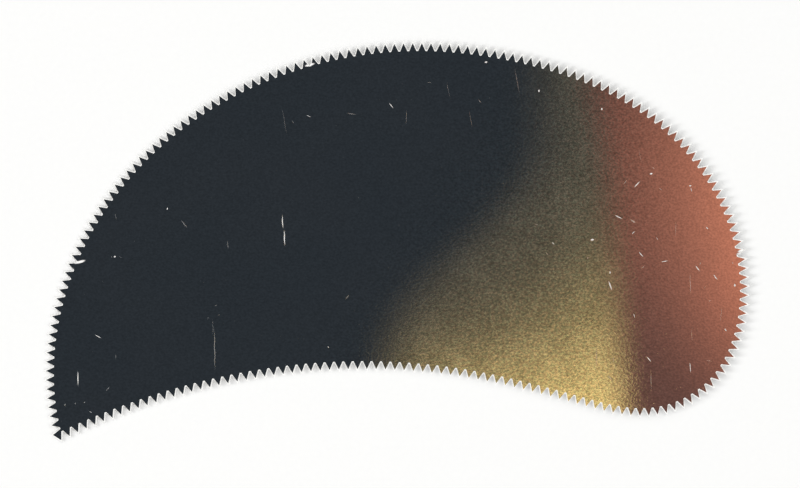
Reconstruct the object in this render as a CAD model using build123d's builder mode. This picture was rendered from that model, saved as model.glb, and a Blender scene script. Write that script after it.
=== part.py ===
"""Serrated steel pottery rib: one flat blank of stainless sheet, toothed all round, sizes in millimetres.

The plate lies in the XY plane with its long axis along X. Its belly, the long hollow edge, faces -Y, its
crown faces +Y, its nose points to +X and its heel, the one corner, lies at -X and -Y. The origin is the
middle of the box round the plate, on the face that it rests on.

It is made as it is in the workshop: a blank is cut from the sheet, and one gullet cutter then bites its
way round the edge, bite beside bite, so that each two bites leave a pointed tooth between them.
"""

import math
import os

from build123d import *

# The blank
rib_length = 121.3
rib_width = 68.9
sheet_thickness = 0.5

# The teeth: V gullets one beside the other, a sixteenth of an inch apart, so that the teeth end in points
tooth_pitch = 1.5875
gullet_angle = 51.5
gullet_land = 0.05

# The bevel along the edge of both faces, and how far the cutter's mouth reaches past the tooth points
edge_bevel = 0.19
mouth_overrun = 0.4

# The run of the tooth points, as shares of the blank's length and width from the middle of its box. It
# goes from the heel along the belly, round the nose and back over the crown to the heel again.
belly_shares = [(-0.473, -0.500), (-0.338, -0.406), (-0.119, -0.329), (0.091, -0.343), (0.257, -0.412)]
nose_shares = [(0.361, -0.440), (0.453, -0.361), (0.494, -0.218), (0.500, -0.122)]
shoulder_shares = [(0.430, 0.216), (0.307, 0.390), (0.171, 0.472)]
crown_shares = [(0.033, 0.500), (-0.154, 0.446), (-0.316, 0.295)]
heel_shares = [(-0.438, 0.054), (-0.500, -0.336), (-0.489, -0.482)]

# Pitch line: one smooth curve through the tooth points, open at the heel
run_shares = belly_shares + nose_shares + shoulder_shares + crown_shares + heel_shares
with BuildLine() as pitch_line:
    Spline(*[(rib_length * along, rib_width * across) for along, across in run_shares])
run = pitch_line.edges()[0]

# Tooth points at equal steps along the run, as many as its length has room for
gullet_count = round(run.length / tooth_pitch)
tooth_step = run.length / gullet_count
tooth_points = [run @ (step / gullet_count) for step in range(gullet_count + 1)]

# One place for each gullet: half way between two tooth points, X along the edge and Y into the metal
gullet_places = [
    Plane(origin=(point + next_point) / 2, x_dir=next_point - point).location
    for point, next_point in zip(tooth_points, tooth_points[1:])
]

# Gullet cutter: a coupon of the sheet gets one finished gullet, with its walls' rims bevelled, and what the
# coupon has lost is the cutter. It lies as in a gullet's place, with the tooth points on the X axis.
gullet_slope = math.tan(math.radians(gullet_angle / 2))
gullet_depth = (tooth_step - gullet_land) / 2 / gullet_slope
mouth_half_width = tooth_step / 2 + mouth_overrun * gullet_slope
coupon_width = 4 * mouth_half_width
coupon_depth = 2 * gullet_depth + mouth_overrun

with BuildPart() as coupon:
    with BuildSketch():
        with Locations((0, coupon_depth / 2 - mouth_overrun)):
            Rectangle(coupon_width, coupon_depth)
    extrude(amount=sheet_thickness)
    with BuildSketch():
        with BuildLine():
            Polyline(
                (-mouth_half_width, -mouth_overrun),
                (-gullet_land / 2, gullet_depth),
                (gullet_land / 2, gullet_depth),
                (mouth_half_width, -mouth_overrun),
                close=True,
            )
        make_face()
    extrude(amount=sheet_thickness, mode=Mode.SUBTRACT)
    wall_edges = (
        coupon.edges()
        .filter_by_position(Axis.X, -mouth_half_width, mouth_half_width)
        .filter_by_position(Axis.Y, -mouth_overrun, gullet_depth, inclusive=(False, True))
    )
    chamfer(wall_edges.filter_by(Axis.Z, reverse=True), edge_bevel)

with BuildPart() as gullet_cutter:
    with BuildSketch():
        with Locations((0, coupon_depth / 2 - mouth_overrun)):
            Rectangle(coupon_width, coupon_depth)
    extrude(amount=sheet_thickness)
    add(coupon.part, mode=Mode.SUBTRACT)

# Blade: the blank's corners are the tooth points. Its one long side, the heel, stays straight, and each
# short side gives way to a gullet.
with BuildPart() as blade:
    with BuildSketch():
        with BuildLine():
            Polyline(*tooth_points, close=True)
        make_face()
    extrude(amount=sheet_thickness)
    heel_line = Axis(run @ 1, run @ 0 - run @ 1)
    chamfer(blade.edges().filter_by(heel_line), edge_bevel)
    with Locations(gullet_places):
        add(gullet_cutter.part, mode=Mode.SUBTRACT)
blade.part.label = "blade"

os.makedirs("parts", exist_ok=True)
export_step(blade.part, "parts/blade.step")

outer = blade.part.bounding_box()
print("gullets", gullet_count, "step", round(tooth_step, 4), "depth", round(gullet_depth, 3))
print("box", outer.min, outer.max, "volume", round(blade.part.volume, 1), "faces", len(blade.faces()))
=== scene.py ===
# %% [markdown]
# A pottery rib is a thin steel plate that a potter draws over wet clay. This one is toothed all round, so
# that it combs the clay as well as shaping it. The plate comes from the frame, at its real size. What this
# file adds is its finish, bright rolled stainless steel, and a plain white table to photograph it on.

# %% Load the plate
import math

import bpy
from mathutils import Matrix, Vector


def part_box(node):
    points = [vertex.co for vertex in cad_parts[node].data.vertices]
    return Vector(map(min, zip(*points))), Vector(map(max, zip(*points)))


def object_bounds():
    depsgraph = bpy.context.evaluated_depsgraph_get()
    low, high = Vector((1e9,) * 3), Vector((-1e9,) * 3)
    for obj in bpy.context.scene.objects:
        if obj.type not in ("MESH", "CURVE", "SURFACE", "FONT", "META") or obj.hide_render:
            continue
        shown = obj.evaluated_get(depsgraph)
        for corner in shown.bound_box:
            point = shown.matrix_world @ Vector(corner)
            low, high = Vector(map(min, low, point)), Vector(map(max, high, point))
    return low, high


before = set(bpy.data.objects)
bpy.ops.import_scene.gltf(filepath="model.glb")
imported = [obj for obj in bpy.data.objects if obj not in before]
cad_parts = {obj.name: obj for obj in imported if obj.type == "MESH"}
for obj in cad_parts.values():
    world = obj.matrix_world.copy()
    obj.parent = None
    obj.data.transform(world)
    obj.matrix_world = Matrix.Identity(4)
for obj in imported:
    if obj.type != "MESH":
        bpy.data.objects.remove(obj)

cad_low, cad_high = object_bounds()
mm = 0.001
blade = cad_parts["blade"]
face_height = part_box("blade")[1].z
print("plate", [round(side / mm, 2) for side in cad_high - cad_low], "mm")

# %% [markdown]
# The photograph looks straight down. Polished steel shows whatever stands behind the camera, so the
# distance matters as much as the framing. It sets the angles at which the plate mirrors the room. A lens
# of 85 mm at about a third of a metre is what a small product is usually photographed with.

# %% Camera
view_width = 137.2 * mm
view_centre = Vector((0.52 * mm, -0.44 * mm, face_height))
lens = 85.0
sensor = 36.0

camera_data = bpy.data.cameras.new("camera")
camera_data.lens = lens
camera_data.sensor_width = sensor
camera_data.clip_start = 10 * mm
camera = bpy.data.objects.new("camera", camera_data)
bpy.context.scene.collection.objects.link(camera)
camera_distance = view_width * lens / sensor
camera.location = view_centre + Vector((0, 0, camera_distance))
bpy.context.scene.camera = camera
bpy.context.scene.view_settings.view_transform = "Standard"
print("camera", round(camera_distance / mm), "mm above the plate")

# %% [markdown]
# Every finish below is a net of small nodes. A few helpers keep the wiring readable: one plugs a value or
# another node's output into a socket, one adds a node, and the others stand for sums, for soft thresholds
# and for mixed colours.

# %% Helpers for nodes
def plug(socket, source):
    """Links the socket where the source is another node's output, and otherwise sets it."""
    if isinstance(source, bpy.types.NodeSocket):
        socket.id_data.links.new(source, socket)
    else:
        socket.default_value = source


def add_node(tree, kind, inputs, **settings):
    """Adds a shader node, applies its settings and plugs its inputs, by name or by number."""
    node = tree.nodes.new("ShaderNode" + kind)
    for name, setting in settings.items():
        setattr(node, name, setting)
    for name, source in inputs.items():
        plug(node.inputs[name], source)
    return node


def calc(tree, operation, *sources):
    """The result of a sum on numbers."""
    return add_node(tree, "Math", dict(enumerate(sources)), operation=operation).outputs[0]


def vector_calc(tree, operation, inputs, output="Vector"):
    """The result of a sum on vectors."""
    return add_node(tree, "VectorMath", inputs, operation=operation).outputs[output]


def ease(tree, source, low, high, start=0.0, end=1.0):
    """Goes softly from start to end as the source goes from low to high."""
    inputs = {"Value": source, "From Min": low, "From Max": high, "To Min": start, "To Max": end}
    return add_node(tree, "MapRange", inputs, interpolation_type="SMOOTHSTEP").outputs["Result"]


def mix_colours(tree, share, first, second):
    """The first colour, with a share of the second."""
    inputs = {0: share, 6: first, 7: second}
    return add_node(tree, "Mix", inputs, data_type="RGBA").outputs[2]


def seen_directly(tree):
    """One where the camera, a reflection or a see-through ray meets the surface, and else zero."""
    ray = add_node(tree, "LightPath", {}).outputs
    mirrored = calc(tree, "MAXIMUM", ray["Is Glossy Ray"], ray["Is Transmission Ray"])
    return calc(tree, "MAXIMUM", ray["Is Camera Ray"], mirrored)


def new_material(name):
    """An empty node material and its output node."""
    material = bpy.data.materials.new(name)
    material.use_nodes = True
    material.node_tree.nodes.clear()
    return material, material.node_tree.nodes.new("ShaderNodeOutputMaterial")


# %% [markdown]
# Two effects are used more than once, so each is a node group with its own inputs. The first is a fine
# grain. On the steel it is the texture that the rolls press into the sheet, a third of a millimetre
# coarse and a little longer along the roll, and, much larger, its faint patches. On the table it is the
# tooth of the paper.

# %% Group for fine grain
def new_group(name, inputs, outputs):
    """A node group with named sockets, and its inner ends."""
    group = bpy.data.node_groups.new(name, "ShaderNodeTree")
    for socket_name, kind, default in inputs:
        socket = group.interface.new_socket(socket_name, in_out="INPUT", socket_type="NodeSocket" + kind)
        socket.default_value = default
    for socket_name in outputs:
        group.interface.new_socket(socket_name, in_out="OUTPUT", socket_type="NodeSocketFloat")
    return group, group.nodes.new("NodeGroupInput").outputs, group.nodes.new("NodeGroupOutput").inputs


def place_group(tree, group, inputs):
    """Puts a group into a material's tree with its own values and gives its outputs."""
    node = tree.nodes.new("ShaderNodeGroup")
    node.node_tree = group
    for name, source in inputs.items():
        plug(node.inputs[name], source)
    return node.outputs


fine_grain, grain_in, grain_out = new_group(
    "fine_grain",
    [("Point", "Vector", (0, 0, 0)), ("Size", "Float", 0.25), ("Stretch", "Float", 1.5)],
    ["Height"],
)
across = calc(fine_grain, "DIVIDE", 1.0, grain_in["Size"])
along = calc(fine_grain, "DIVIDE", across, grain_in["Stretch"])
grain_scale = add_node(fine_grain, "CombineXYZ", {0: along, 1: across, 2: across}).outputs[0]
grain_point = vector_calc(fine_grain, "MULTIPLY", {0: grain_in["Point"], 1: grain_scale})
grain_noise = add_node(fine_grain, "TexNoise", {"Vector": grain_point, "Scale": 1.0, "Detail": 1.0})
plug(grain_out["Height"], grain_noise.outputs["Fac"])
print("group", fine_grain.name)

# %% [markdown]
# The second group scatters small marks. A Voronoi pattern divides the plate into cells, each with a
# random colour. The group turns each cell by one part of that colour, draws a slim ellipse in it, and
# leaves out the cells whose other part is too high. Long and slim it makes hairline scratches, and short
# it makes specks. The marks lie on a flat face, so the third axis is made too long to count.

# %% Group for scattered marks
uncounted = 1e6
faintest = 0.25
rim, core = 0.5, 0.15

scattered_marks, marks_in, marks_out = new_group(
    "scattered_marks",
    [
        ("Point", "Vector", (0, 0, 0)),
        ("Spacing", "Float", 10.0),
        ("Length", "Float", 1.0),
        ("Width", "Float", 0.1),
        ("Lean", "Float", 0.0),
        ("Turn", "Float", math.pi),
        ("Share", "Float", 0.5),
    ],
    ["Mask"],
)
cell_rate = calc(scattered_marks, "DIVIDE", 1.0, marks_in["Spacing"])
cell_inputs = {"Vector": marks_in["Point"], "Scale": cell_rate}
cells = add_node(scattered_marks, "TexVoronoi", cell_inputs, voronoi_dimensions="2D").outputs
chance = add_node(scattered_marks, "SeparateColor", {0: cells["Color"]}).outputs
from_centre = vector_calc(scattered_marks, "SUBTRACT", {0: marks_in["Point"], 1: cells["Position"]})
centred = calc(scattered_marks, "SUBTRACT", chance[0], 0.5)
swing = calc(scattered_marks, "MULTIPLY_ADD", centred, marks_in["Turn"], marks_in["Lean"])
turn_inputs = {"Vector": from_centre, "Angle": swing}
turned = add_node(scattered_marks, "VectorRotate", turn_inputs, rotation_type="Z_AXIS").outputs[0]
half_inputs = {0: marks_in["Length"], 1: marks_in["Width"], 2: uncounted}
half_size = add_node(scattered_marks, "CombineXYZ", half_inputs).outputs[0]
reach = vector_calc(scattered_marks, "DIVIDE", {0: turned, 1: half_size})
from_mark = vector_calc(scattered_marks, "LENGTH", {0: reach}, "Value")
shown = calc(scattered_marks, "LESS_THAN", chance[1], marks_in["Share"])
strength = ease(scattered_marks, chance[2], 0.0, 1.0, faintest, 1.0)
mark_shape = ease(scattered_marks, from_mark, rim, core)
shown_shape = calc(scattered_marks, "MULTIPLY", mark_shape, shown)
plug(marks_out["Mask"], calc(scattered_marks, "MULTIPLY", shown_shape, strength))
print("group", scattered_marks.name)

# %% [markdown]
# The marks that catch the eye in the photograph are placed one by one. Ribs are rinsed of clay full of
# grit, so the marks are short ticks and nicks, thickest where the nose is held, with a few long scratches.
# Marks that point the same way form a family: the family has the direction, in degrees from the plate's
# length, how slim its marks are and how bright, and each mark has its middle and its length. That keeps the
# net of nodes small: a family turns and squeezes the plate once, and each mark in it is then a disc.

# %% Marks that show
mark_families = [
    (93, 14, 1.0, [(-19.6, 3.4, 2.4), (-19.3, 0.6, 2.8), (-54.7, -23.5, 2.5), (50.3, -21.6, 1.7)]),
    (155, 8, 0.9, [(38.0, 4.2, 1.5), (-51.3, -16.3, 1.2), (-15.1, 21.5, 0.8)]),
    (130, 8, 1.0, [(51.6, -4.6, 1.3), (54.6, -6.1, 1.2), (41.9, -2.2, 1.2), (-1.0, 23.3, 1.2),
                   (43.2, -20.2, 1.2)]),
    (45, 8, 0.9, [(41.2, 9.8, 1.5), (40.6, 1.5, 0.8)]),
    (12, 8, 0.8, [(45.9, -3.4, 1.3)]),
    (108, 7, 0.8, [(50.5, 8.9, 0.9), (40.7, -12.7, 0.8), (36.6, -7.6, 1.8), (44.6, 0.5, 0.6)]),
    (10, 1.6, 1.0, [(33.5, 0.3, 0.6), (43.6, 11.6, 0.5), (15.3, 30.7, 0.5), (50.3, 9.6, 0.4),
                    (-48.4, -2.6, 0.4)]),
    (90, 1.7, 1.0, [(24.4, 25.8, 0.5), (-39.4, 5.6, 0.4), (57.9, -7.5, 0.5), (35.1, 22.7, 0.45),
                    (36.5, -5.3, 0.4)]),
    (130, 3, 0.8, [(53.2, 2.3, 0.6), (56.4, -15.2, 0.6), (26.8, -0.3, 0.5), (-11.8, -18.1, 0.4)]),
    (91, 50, 0.45, [(-31.3, -18.5, 7.8), (50.3, -7.2, 4.2), (-31.6, -14.6, 3.0),
                    (43.6, -24.0, 3.8)]),
    (88, 30, 0.35, [(50.6, -15.9, 2.6), (55.6, -12.6, 2.8), (34.2, -20.0, 4.8),
                    (47.8, 2.2, 3.4), (1.6, 21.3, 3.0)]),
    (101, 36, 0.32, [(-19.3, 20.6, 5.4), (41.7, 14.6, 2.8), (12.6, 21.0, 3.6),
                     (20.6, 27.6, 5.0), (8.8, 26.0, 3.4)]),
    (96, 12, 0.4, [(-29.0, -0.6, 1.6), (-48.2, 4.2, 1.1), (-48.2, -19.8, 1.2),
                   (37.1, -20.2, 1.2), (-49.0, -2.6, 0.5)]),
    (50, 8, 0.4, [(39.1, 10.1, 1.1), (-49.6, -25.3, 1.2), (-8.5, -9.6, 1.2), (42.2, -4.4, 0.9),
                  (52.8, -7.9, 0.6)]),
    (128, 8, 0.4, [(-17.8, 20.5, 0.8), (36.6, -23.4, 1.3), (25.7, -2.1, 0.8), (14.2, 24.1, 1.0),
                   (-36.5, 3.0, 2.0)]),
    (172, 9, 0.4, [(53.5, -20.4, 1.1), (-7.8, 21.9, 1.8), (23.9, 2.9, 0.8), (5.6, 27.2, 0.9),
                   (-47.4, -2.7, 0.7)]),
    (148, 4, 0.45, [(40.5, 3.5, 1.3), (-52.6, -29.3, 0.7), (57.6, -3.7, 0.5), (44.0, 12.6, 0.6),
                    (45.2, 9.0, 0.6)]),
    (70, 3, 0.45, [(-56.9, -28.0, 0.5), (-55.2, -27.8, 0.4), (-53.6, -27.6, 0.4),
                   (32.7, -2.9, 0.5), (52.0, -3.8, 0.5)]),
    (30, 3, 0.35, [(-30.6, -12.6, 0.5), (-32.4, -13.2, 0.5), (-31.0, -11.0, 0.6),
                   (29.0, 6.9, 0.5), (53.6, -10.2, 0.5)]),
]
white_spot_places = [(-54.4, -3.5, 1.8), (59.2, -1.5, 1.6), (59.3, -1.9, 2.2), (-15.0, 30.3, 1.7)]
white_spot_family = (15, 4, 1.0, white_spot_places)
outer_radii, inner_radii = 1.3, 0.4


def draw_family(tree, point, family):
    """One mask for a family of marks, as bright as the family is."""
    angle, slimness, brightness, marks = family
    turn = math.radians(angle)
    squeeze = {"Vector": point, "Rotation": (0, 0, turn), "Scale": (slimness, 1, uncounted)}
    squeezed = add_node(tree, "Mapping", squeeze, vector_type="TEXTURE").outputs[0]
    nearest = None
    for x, y, length in marks:
        along = x * math.cos(turn) + y * math.sin(turn)
        across = y * math.cos(turn) - x * math.sin(turn)
        away_inputs = {0: squeezed, 1: (along / slimness, across, 0)}
        away = vector_calc(tree, "DISTANCE", away_inputs, "Value")
        in_radii = calc(tree, "MULTIPLY", away, 2 * slimness / length)
        nearest = in_radii if nearest is None else calc(tree, "MINIMUM", nearest, in_radii)
    return ease(tree, nearest, outer_radii, inner_radii, 0.0, brightness)


def draw_families(tree, point, families):
    """One mask for all the families: where two cross, the brighter one counts."""
    mask = None
    for family in families:
        drawn = draw_family(tree, point, family)
        mask = drawn if mask is None else calc(tree, "MAXIMUM", mask, drawn)
    return mask


print("marks", sum(len(family[3]) for family in mark_families))

# %% [markdown]
# Stainless sheet leaves the last rolls almost as bright as a mirror. A metal has no colour under its
# reflections, so the finish is three things: a steel grey that tints what it mirrors, a low roughness that
# rises where something rubbed it, and a relief a few thousandths of a millimetre high.
#
# Each tooth has a narrow bevel beside each face, which catches the light of the table all round, and a dull
# wall between the two. The bevel's near-white colour is a painted highlight, and the wall's near black is
# painted shade, which deepens the shadow in the gullets. The masks for them come from the way each facet
# faces. On a face the upright part of its direction is one, and on a wall it is nought.

# %% Steel and the way its facets face
face_from, face_to = 0.85, 0.95
wall_from, wall_to = 0.4, 0.2

steel, steel_output = new_material("bright_rolled_steel")
tree = steel.node_tree
texture_space = add_node(tree, "TexCoord", {}).outputs
point = vector_calc(tree, "SCALE", {0: texture_space["Object"], "Scale": 1 / mm})
plate_axes = add_node(tree, "SeparateXYZ", {0: point}).outputs
along_plate = plate_axes["X"]
facing_up = add_node(tree, "SeparateXYZ", {0: texture_space["Normal"]}).outputs["Z"]
flatness = calc(tree, "ABSOLUTE", facing_up)
on_top = ease(tree, facing_up, face_from, face_to)
on_cut = ease(tree, flatness, face_to, face_from)
on_wall = ease(tree, flatness, wall_from, wall_to)
print("masks for the upper face, the cut edge and its walls")

# %% [markdown]
# Use leaves marks. Faint hairlines run across the plate, and faint specks lie thicker towards the nose. Both
# are scattered by the group, and the marks that catch the eye lie over them. A slow wobble bends the placed
# marks by up to a tenth of a millimetre, so that none is dead straight. A few white spots on the edge aren't
# metal at all, so they have a mask of their own.

# %% Scratches, specks and white spots
hairline_shape = {"Spacing": 9.0, "Length": 8.0, "Width": 0.06}
hairline_run = {"Lean": math.pi / 2, "Turn": 0.5, "Share": 0.5}
hairline_strength = 0.13
speck_shape = {"Spacing": 2.4, "Length": 0.42, "Width": 0.2, "Turn": math.pi}
speck_strength = 0.2
few_specks, many_specks = 0.3, 0.6
thicker_from, thicker_to = 25.0, 50.0
wobble_reach = 0.1
wobble_rate = 0.7

hairlines = place_group(tree, scattered_marks, {"Point": point, **hairline_shape, **hairline_run})["Mask"]
speck_share = ease(tree, along_plate, thicker_from, thicker_to, few_specks, many_specks)
speck_values = {"Point": point, **speck_shape, "Share": speck_share}
specks = place_group(tree, scattered_marks, speck_values)["Mask"]
faint_hairlines = calc(tree, "MULTIPLY", hairlines, hairline_strength)
faint_specks = calc(tree, "MULTIPLY", specks, speck_strength)
scattered = calc(tree, "MAXIMUM", faint_hairlines, faint_specks)

wobble_inputs = {"Vector": point, "Scale": wobble_rate, "Detail": 0.0}
wobble = add_node(tree, "TexNoise", wobble_inputs).outputs["Color"]
wobble_swing = (2 * wobble_reach, 2 * wobble_reach, 0)
wobbled = vector_calc(tree, "MULTIPLY_ADD", {0: wobble, 1: wobble_swing, 2: point})
mark_point = vector_calc(tree, "SUBTRACT", {0: wobbled, 1: (wobble_reach, wobble_reach, 0)})
placed = draw_families(tree, mark_point, mark_families)
scratches_and_glints = calc(tree, "MULTIPLY", calc(tree, "MAXIMUM", placed, scattered), on_top)
white_spots = draw_family(tree, mark_point, white_spot_family)
print("marks and slip drawn with", len(tree.nodes), "nodes so far")

# %% [markdown]
# The colour of the bare steel comes next. The rolls leave broad faint patches and a fine grain. Between the
# belly and the nose, where the steel mirrors the brass light, the grain has more contrast and flecks of a
# warm and a cool grey, a painted sparkle of that reflection. The colours are close together, because a
# metal's colour multiplies what it mirrors, and a strong one would look like paint.

# %% Colour of the bare steel
steel_colour = (0.56, 0.56, 0.57, 1)
worn_colour = (0.535, 0.545, 0.56, 1)
warm_fleck = (0.595, 0.545, 0.53, 1)
cool_fleck = (0.535, 0.57, 0.555, 1)
grain_shape = {"Size": 0.3, "Stretch": 1.3}
patch_shape = {"Size": 16.0, "Stretch": 1.3}
fleck_shape = {"Size": 0.5, "Stretch": 1.2}
low_tone, high_tone = 0.35, 0.65
belly_lean = -0.6
# The zone of stronger grain and flecks is painted sparkle where the brass light is mirrored.
brass_sparkle_from, brass_sparkle_to = -8.0, 26.0
nose_from, nose_to = 52.0, 30.0
plain_contrast = 0.65

grain = place_group(tree, fine_grain, {"Point": point, **grain_shape})["Height"]
patches = place_group(tree, fine_grain, {"Point": point, **patch_shape})["Height"]
flecks = place_group(tree, fine_grain, {"Point": point, **fleck_shape})["Height"]
towards_nose = calc(tree, "MULTIPLY_ADD", plate_axes["Y"], belly_lean, along_plate)
begun = ease(tree, towards_nose, brass_sparkle_from, brass_sparkle_to)
brass_sparkle = calc(tree, "MULTIPLY", begun, ease(tree, along_plate, nose_from, nose_to))
toned = mix_colours(tree, ease(tree, patches, low_tone, high_tone), worn_colour, steel_colour)
fleck_tone = mix_colours(tree, ease(tree, flecks, low_tone, high_tone), cool_fleck, warm_fleck)
flecked = mix_colours(tree, brass_sparkle, toned, fleck_tone)
grain_contrast = calc(tree, "ADD", brass_sparkle, plain_contrast)
centred_grain = calc(tree, "SUBTRACT", grain, 0.5)
grain_tone = calc(tree, "MULTIPLY_ADD", centred_grain, grain_contrast, 1.0)
bare_steel = vector_calc(tree, "SCALE", {0: flecked, "Scale": grain_tone})
print("steel grey", steel_colour[:3])

# %% [markdown]
# The cut edge, the marks and the white spots lie over the bare steel in that order, each with its own
# colour. The marks are real scratches and nicks, and their near-white colour is a painted glint. Where there
# are marks the steel is rougher too, so a mark shows pale in a dark reflection. The relief comes last and
# matters most. It tilts the mirror by a fraction of a degree, so a bright thing in the room breaks up into
# sparkle, while a dark one stays smooth.

# %% Surface of the steel
# Near white on the bevel is a painted highlight. Near black on the wall is painted shade for the gullets.
bevel_highlight_colour = (0.985, 0.98, 0.96, 1)
wall_shade_colour = (0.09, 0.085, 0.08, 1)
# Near white on a scratch is a painted glint; the extra roughness there is the real wear.
mark_glint_colour = (0.96, 0.96, 0.94, 1)
# The white spots are coloured and matt, not metal.
white_spot_colour = (0.93, 0.92, 0.89, 1)
patch_from, patch_to = 0.3, 0.7
smoothest_face, roughest_face = 0.02, 0.03
bevel_roughness = 0.3
wall_rougher_by = 0.2
mark_rougher_by = 0.7
relief_height = 0.003 * mm

# The edge colour mixes the painted highlight of the bevel with the painted shade of the wall.
edge_highlight_and_shade = mix_colours(tree, on_wall, bevel_highlight_colour, wall_shade_colour)
with_edge_highlight_and_shade = mix_colours(tree, on_cut, bare_steel, edge_highlight_and_shade)
with_glinting_marks = mix_colours(tree, scratches_and_glints, with_edge_highlight_and_shade, mark_glint_colour)
base_colour = mix_colours(tree, white_spots, with_glinting_marks, white_spot_colour)

face_roughness = ease(tree, patches, patch_from, patch_to, smoothest_face, roughest_face)
cut_roughness = calc(tree, "MULTIPLY_ADD", on_wall, wall_rougher_by, bevel_roughness)
unmarked = add_node(tree, "Mix", {0: on_cut, 2: face_roughness, 3: cut_roughness}).outputs[0]
rubbed = calc(tree, "MULTIPLY_ADD", scratches_and_glints, mark_rougher_by, unmarked)
relief = add_node(tree, "Bump", {"Strength": 1.0, "Distance": relief_height, "Height": grain})

surface_inputs = {
    "Base Color": base_colour,
    "Metallic": calc(tree, "SUBTRACT", 1.0, white_spots),
    "Roughness": calc(tree, "MAXIMUM", rubbed, white_spots),
    "Normal": relief.outputs[0],
}
surface = add_node(tree, "BsdfPrincipled", surface_inputs)
plug(steel_output.inputs["Surface"], surface.outputs[0])
blade.material_slots[0].material = steel
print("steel with", len(tree.nodes), "nodes")

# %% [markdown]
# The table is white paper. Its tone comes from its colour and from a little glow that only the camera
# and the plate's reflections see, so that it reads as white while the light stays at a plain level and
# the shadow beside the plate is kept. It lies a hair under the heel, so that the two faces don't fight.
# The real plate seems to be sprung a little, with its nose about a millimetre off the paper. The plate here
# is flat and isn't moved, so the paper falls away under its nose by nearly as much.

# %% White table
paper_colours = (0.74, 0.74, 0.73, 1), (0.76, 0.76, 0.75, 1)
paper_shape = {"Size": 0.9, "Stretch": 1.0}
paper_glow = 0.14
white = (1, 1, 1, 1)
table_side = 6.0
table_gap = 0.01 * mm
nose_gap = 0.8 * mm
table_slope = math.atan2(nose_gap, cad_high.x - cad_low.x)

bpy.ops.mesh.primitive_plane_add(
    size=table_side, location=(cad_low.x, 0, -table_gap), rotation=(0, table_slope, 0)
)
table = bpy.context.object
table.name = "table"
paper, paper_output = new_material("white_paper")
tree = paper.node_tree
table_place = add_node(tree, "TexCoord", {}).outputs["Object"]
table_point = vector_calc(tree, "SCALE", {0: table_place, "Scale": 1 / mm})
fibres = place_group(tree, fine_grain, {"Point": table_point, **paper_shape})["Height"]
paper_colour = mix_colours(tree, fibres, *paper_colours)
matt = add_node(tree, "BsdfDiffuse", {"Color": paper_colour})
glow_level = calc(tree, "MULTIPLY", seen_directly(tree), paper_glow)
glow = add_node(tree, "Emission", {"Color": white, "Strength": glow_level})
both = add_node(tree, "AddShader", {0: matt.outputs[0], 1: glow.outputs[0]})
plug(paper_output.inputs["Surface"], both.outputs[0])
table.data.materials.append(paper)
print("table", table_side, "m wide, falling", round(math.degrees(table_slope), 2), "degrees to the nose")

# %% [markdown]
# Most of the light is a plain white room. It is a little brighter at its sides than overhead, where the
# camera hangs, and at the right, across from the lamp, than at the left. Heights in it are given as the sine
# of the angle above the table, which is the upright part of a direction. The camera and the reflections see
# the room as even white.

# %% White room
low_level = 0.19
side_level = 1.29
overhead_level = 0.86
side_from, side_to = 0.35, 0.6
overhead_from, overhead_to = 0.74, 0.9
side_slant = Vector((0.25, -0.1, 0.0))

world = bpy.data.worlds.new("white_room")
world.use_nodes = True
tree = world.node_tree
tree.nodes.clear()
direction = add_node(tree, "TexCoord", {}).outputs["Generated"]
height_share = add_node(tree, "SeparateXYZ", {0: direction}).outputs["Z"]
around = vector_calc(tree, "DOT_PRODUCT", {0: direction, 1: side_slant}, "Value")
level_from_low = ease(tree, height_share, side_from, side_to, low_level, side_level)
level_by_height = ease(tree, height_share, overhead_from, overhead_to, level_from_low, overhead_level)
room_level = calc(tree, "MULTIPLY", level_by_height, calc(tree, "ADD", around, 1.0))
level = add_node(tree, "Mix", {0: seen_directly(tree), 2: room_level, 3: 1.0}).outputs[0]
sky = add_node(tree, "Background", {"Color": white, "Strength": level})
plug(tree.nodes.new("ShaderNodeOutputWorld").inputs["Surface"], sky.outputs[0])
bpy.context.scene.world = world
print("room at", side_level, "at the sides and", overhead_level, "overhead")

# %% [markdown]
# One wide lamp at the left does the rest. It is what shows the teeth: each tooth throws a short shadow into
# the gullet beside it, and the nose, which stands off the paper, throws a soft one beyond its edge. The lamp
# itself isn't seen in the steel.

# %% Lamp
lamp_distance = 5.0
lamp_width = 1.2
lamp_height = 1.8
lamp_power = 111.0
above_table = math.radians(33.0)
towards_belly = math.radians(8.0)

lamp_data = bpy.data.lights.new("wide_lamp", "AREA")
lamp_data.shape = "RECTANGLE"
lamp_data.size = lamp_width
lamp_data.size_y = lamp_height
lamp_data.energy = lamp_power
lamp = bpy.data.objects.new("wide_lamp", lamp_data)
floor_way = Vector((-math.cos(towards_belly), -math.sin(towards_belly), 0))
lamp_way = floor_way * math.cos(above_table) + Vector((0, 0, math.sin(above_table)))
lamp.location = lamp_distance * lamp_way
lamp.rotation_euler = (-lamp_way).to_track_quat("-Z", "Y").to_euler()
lamp.visible_glossy = False
bpy.context.scene.collection.objects.link(lamp)
print("lamp", round(math.degrees(above_table)), "degrees above the table")

# %% [markdown]
# What the steel shows from above is the room behind the camera: dark over most of the plate, then a
# brass-coloured glow that gathers towards the belly, then a rosy wall towards the nose. A photographer
# would hang cards there, and so does this file. One card hangs over the camera, where only reflections see
# it. Its zones are drawn in the plate's own millimetres, because a point of the card is seen in the plate
# at a fixed share of its distance from the middle.

# %% Card overhead
card_height = 0.5
card_share = 1 + card_height / camera_distance
mirrored_length = 170 * mm
mirrored_width = 135 * mm

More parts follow.
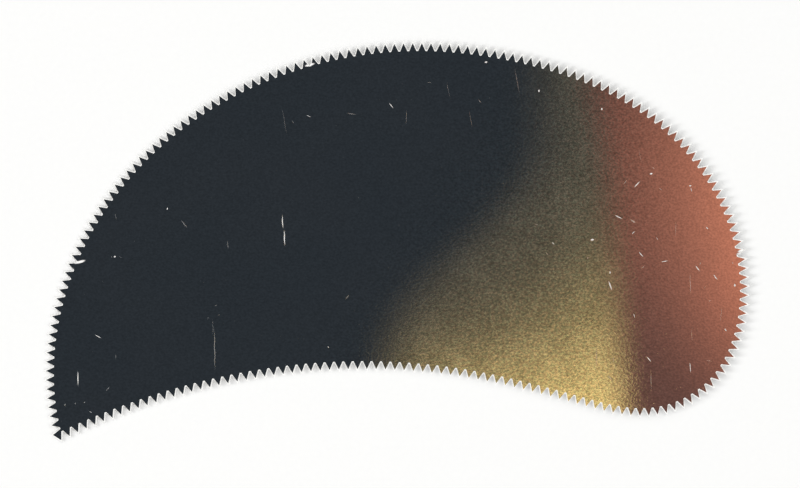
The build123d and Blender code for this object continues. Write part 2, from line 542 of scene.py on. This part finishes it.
bpy.ops.mesh.primitive_plane_add(size=1, location=(view_centre.x, view_centre.y, face_height + card_height))
card = bpy.context.object
card.name = "room_overhead"
card.scale = (mirrored_length * card_share, mirrored_width * card_share, 1)
card.visible_camera = False
card.visible_diffuse = False
room, room_output = new_material("room_overhead")
tree = room.node_tree
room_place = add_node(tree, "NewGeometry", {}).outputs["Position"]
room_point = vector_calc(tree, "SCALE", {0: room_place, "Scale": 1 / mm / card_share})
room_axes = add_node(tree, "SeparateXYZ", {0: room_point}).outputs
u, v = room_axes["X"], room_axes["Y"]
print("card", round(card_height, 2), "m above the plate, seen at 1 to", round(card_share, 2))

# %% [markdown]
# The zones meet along soft edges. The dark one ends along an S that leans over from the belly to the crown.
# The rosy one begins along a line that is nearly upright and leans a little further over at the crown.

# %% Edges of the zones
dark_edge_low, dark_edge_high = -18.0, 18.0
dark_edge_start, dark_edge_end = -1.8, 24.0
dark_soft_from, dark_soft_to = -5.6, 7.9
rose_edge_middle = 38.0
rose_edge_slope = -0.06
crown_from, crown_to = 10.0, 30.0
crown_lean = 2.0
rose_soft_from, rose_soft_to = -5.8, 2.8

dark_edge = ease(tree, v, dark_edge_low, dark_edge_high, dark_edge_start, dark_edge_end)
warm = ease(tree, calc(tree, "SUBTRACT", u, dark_edge), dark_soft_from, dark_soft_to)
straight_edge = calc(tree, "MULTIPLY_ADD", v, rose_edge_slope, rose_edge_middle)
lean = ease(tree, v, crown_from, crown_to, 0.0, crown_lean)
rose_edge = calc(tree, "SUBTRACT", straight_edge, lean)
rosy = ease(tree, calc(tree, "SUBTRACT", u, rose_edge), rose_soft_from, rose_soft_to)
print("rosy wall from", rose_edge_middle, "mm along the plate")

# %% [markdown]
# The brass light grows ever faster towards the belly and the nose, so its level is an exponential with a
# cap. Its power goes up with each millimetre towards the nose and towards the belly, and both rates change
# a little between the belly and the crown. The light is mottled too, and the relief of the steel turns that
# into sparkle.

# %% Brass light
brass_shade = (0.129, 0.119, 0.093)
brass_lamp = (0.286, 0.205, 0.067)
brightest_brass = 4.2
middle_power = -4.68
rise_along, bend_along = 0.112, 0.0036
rise_across, bend_across = -0.232, -0.001
mottle_rate = 1.8
mottle_from, mottle_to = 0.4, 0.6
dim_mottle, bright_mottle = 0.15, 1.85

rate_along = calc(tree, "MULTIPLY_ADD", v, bend_along, rise_along)
rate_across = calc(tree, "MULTIPLY_ADD", v, bend_across, rise_across)
power_across = calc(tree, "MULTIPLY_ADD", v, rate_across, middle_power)
power = calc(tree, "MULTIPLY_ADD", u, rate_along, power_across)
brass_level = calc(tree, "MINIMUM", calc(tree, "EXPONENT", power), brightest_brass)
brass_light = vector_calc(tree, "SCALE", {0: brass_lamp, "Scale": brass_level})
smooth_brass = vector_calc(tree, "ADD", {0: brass_light, 1: brass_shade})
mottle_inputs = {"Vector": room_point, "Scale": mottle_rate, "Detail": 1.0}
mottle = add_node(tree, "TexNoise", mottle_inputs).outputs["Fac"]
mottle_level = ease(tree, mottle, mottle_from, mottle_to, dim_mottle, bright_mottle)
brass = vector_calc(tree, "SCALE", {0: smooth_brass, "Scale": mottle_level})
print("brass light up to", brightest_brass, "times its colour")

# %% [markdown]
# The rosy wall is darkest near the belly, beside the brass, and brightest at the tip of the nose. Its light
# goes with the square of the way across it, along lines that bend between the belly and the crown. With that
# the card is whole: dark, then brass, then rose.

# %% Rosy wall and the whole card
dark_glow = (0.040, 0.049, 0.058, 1)
rose_shade = (0.219, 0.105, 0.083, 1)
rose_lit = (0.877, 0.312, 0.187, 1)
rose_slant, rose_bend = 0.286, -0.012
rose_from, rose_to = 27.5, 57.0
rose_steepness = 2.0

slant = calc(tree, "MULTIPLY_ADD", v, rose_bend, rose_slant)
rose_way = calc(tree, "MULTIPLY_ADD", v, slant, u)
rose_range = {"Value": rose_way, "From Min": rose_from, "From Max": rose_to}
rose_share = add_node(tree, "MapRange", rose_range).outputs["Result"]
rose_level = calc(tree, "POWER", rose_share, rose_steepness)
rose = mix_colours(tree, rose_level, rose_shade, rose_lit)
wall = mix_colours(tree, rosy, brass, rose)
scene_above = mix_colours(tree, warm, dark_glow, wall)
room_glow = add_node(tree, "Emission", {"Color": scene_above, "Strength": 1.0})
plug(room_output.inputs["Surface"], room_glow.outputs[0])
card.data.materials.append(room)
print("card drawn with", len(tree.nodes), "nodes")

# %% [markdown]
# Nothing above changes the plate's shape, so its box is the same as it was when the frame was loaded.

# %% Update the scene
bpy.context.view_layer.update()
